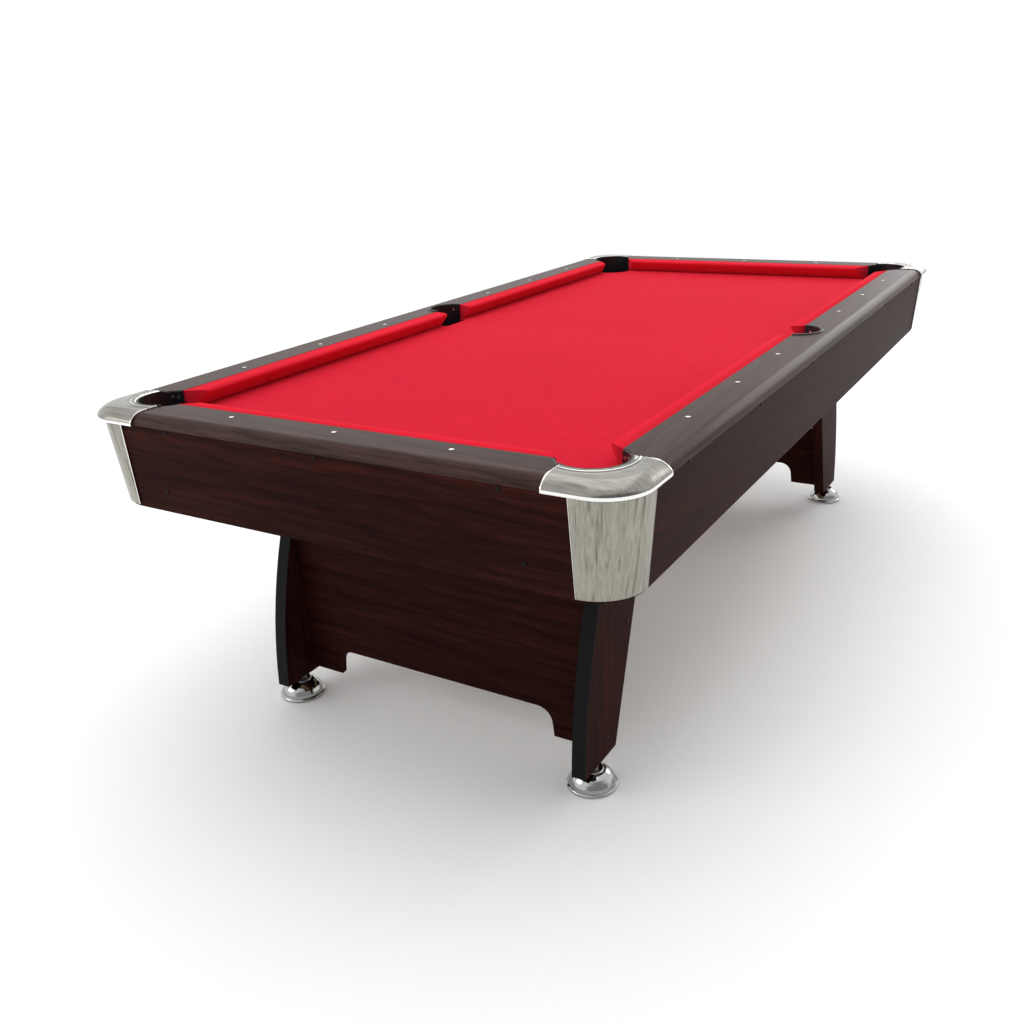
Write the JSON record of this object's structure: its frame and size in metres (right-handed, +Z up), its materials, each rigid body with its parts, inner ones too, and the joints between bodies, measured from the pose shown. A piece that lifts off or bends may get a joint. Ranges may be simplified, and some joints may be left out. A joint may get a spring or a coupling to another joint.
{
  "type": "pool table",
  "caption": "Pool table with drop pockets, red cloth, dark wooden cabinet, chromed corners and two panel pedestals on screw levelling feet.",
  "frame": {"origin": "on the floor, under the middle of the table", "axes": "+Z up, +Y along the table's length towards the far end, +X towards its right side"},
  "size_m": [1.296, 2.516, 0.813],
  "materials": {
    "mahogany": "dark mahogany foil with a fine grain, satin",
    "rail_laminate": "grey-brown foil on the rails, satin",
    "black_laminate": "black foil, satin",
    "board": "bare particle and fibre board, matt",
    "cloth": "bright red napped cloth, matt",
    "cushion_rubber": "moulded rubber, matt",
    "black_plastic": "black moulded plastic, satin",
    "chrome": "bright chrome plate with faint polishing marks",
    "pearl": "pearl white inlay, gloss",
    "steel": "zinc plated steel",
    "black_edge": "black edge banding, satin"
  },
  "bodies": {
    "table": {"apron_battens": "board", "apron_screws": "black_plastic", "bed_board": "board", "bed_cloth": "cloth", "corner_cap_far_left": "chrome", "corner_cap_far_right": "chrome", "corner_cap_near_left": "chrome", "corner_cap_near_right": "chrome", "corner_pocket_liner_far_left": "black_plastic", "corner_pocket_liner_far_right": "black_plastic", "corner_pocket_liner_near_left": "black_plastic", "corner_pocket_liner_near_right": "black_plastic", "corner_posts": "mahogany", "corner_skirt_far_left": "chrome", "corner_skirt_far_right": "chrome", "corner_skirt_near_left": "chrome", "corner_skirt_near_right": "chrome", "cross_beams": "board", "cushion_cloth_far_left": "cloth", "cushion_cloth_far_right": "cloth", "cushion_cloth_near_left": "cloth", "cushion_cloth_near_right": "cloth", "end_apron_far": "mahogany", "end_apron_near": "mahogany", "end_cushion_cloth_far": "cloth", "end_cushion_cloth_near": "cloth", "end_cushion_rubbers": "cushion_rubber", "end_rail_far": "rail_laminate", "end_rail_near": "rail_laminate", "foot_inserts": "steel", "leg_bolts": "steel", "leg_edge_bands": "black_edge", "leg_panel_far_left": "mahogany", "leg_panel_far_right": "mahogany", "leg_panel_near_left": "mahogany", "leg_panel_near_right": "mahogany", "liner_screws": "steel", "long_apron_left": "mahogany", "long_apron_right": "mahogany", "long_cushion_rubbers": "cushion_rubber", "long_rail_left": "rail_laminate", "long_rail_right": "rail_laminate", "main_beams": "board", "outriggers": "black_laminate", "panel_screws": "black_plastic", "pedestal_braces": "board", "pedestal_panel_far": "mahogany", "pedestal_panel_near": "mahogany", "rail_bolts": "steel", "rail_sights": "pearl", "side_pocket_liner_left": "black_plastic", "side_pocket_liner_right": "black_plastic"},
    "pad_near_right": {"foot_pad_near_right": "chrome"},
    "stem_near_right": {"foot_stem_near_right": "steel"},
    "pad_near_left": {"foot_pad_near_left": "chrome"},
    "stem_near_left": {"foot_stem_near_left": "steel"},
    "pad_far_right": {"foot_pad_far_right": "chrome"},
    "stem_far_right": {"foot_stem_far_right": "steel"},
    "pad_far_left": {"foot_pad_far_left": "chrome"},
    "stem_far_left": {"foot_stem_far_left": "steel"}
  },
  "joints": [
    {"name": "foot_extend_near_right", "type": "slide", "parent": "table", "child": "pad_near_right", "axis": [0, 0, -1], "range_m": [0, 0.02]},
    {"name": "foot_screw_near_right", "type": "hinge", "parent": "pad_near_right", "child": "stem_near_right", "pos_m": [0.4135, -0.95, 0.046], "axis": [0, 0, -1], "range_deg": [0, 4115]},
    {"name": "foot_extend_near_left", "type": "slide", "parent": "table", "child": "pad_near_left", "axis": [0, 0, -1], "range_m": [0, 0.02]},
    {"name": "foot_screw_near_left", "type": "hinge", "parent": "pad_near_left", "child": "stem_near_left", "pos_m": [-0.4135, -0.95, 0.046], "axis": [0, 0, -1], "range_deg": [0, 4115]},
    {"name": "foot_extend_far_right", "type": "slide", "parent": "table", "child": "pad_far_right", "axis": [0, 0, -1], "range_m": [0, 0.02]},
    {"name": "foot_screw_far_right", "type": "hinge", "parent": "pad_far_right", "child": "stem_far_right", "pos_m": [0.4135, 0.95, 0.046], "axis": [0, 0, -1], "range_deg": [0, 4115]},
    {"name": "foot_extend_far_left", "type": "slide", "parent": "table", "child": "pad_far_left", "axis": [0, 0, -1], "range_m": [0, 0.02]},
    {"name": "foot_screw_far_left", "type": "hinge", "parent": "pad_far_left", "child": "stem_far_left", "pos_m": [-0.4135, 0.95, 0.046], "axis": [0, 0, -1], "range_deg": [0, 4115]}
  ],
  "couplings": [
    {"joint": "foot_screw_near_right", "follows": "foot_extend_near_right", "rad_per_m": 3590.4},
    {"joint": "foot_screw_near_left", "follows": "foot_extend_near_left", "rad_per_m": 3590.4},
    {"joint": "foot_screw_far_right", "follows": "foot_extend_far_right", "rad_per_m": 3590.4},
    {"joint": "foot_screw_far_left", "follows": "foot_extend_far_left", "rad_per_m": 3590.4}
  ]
}
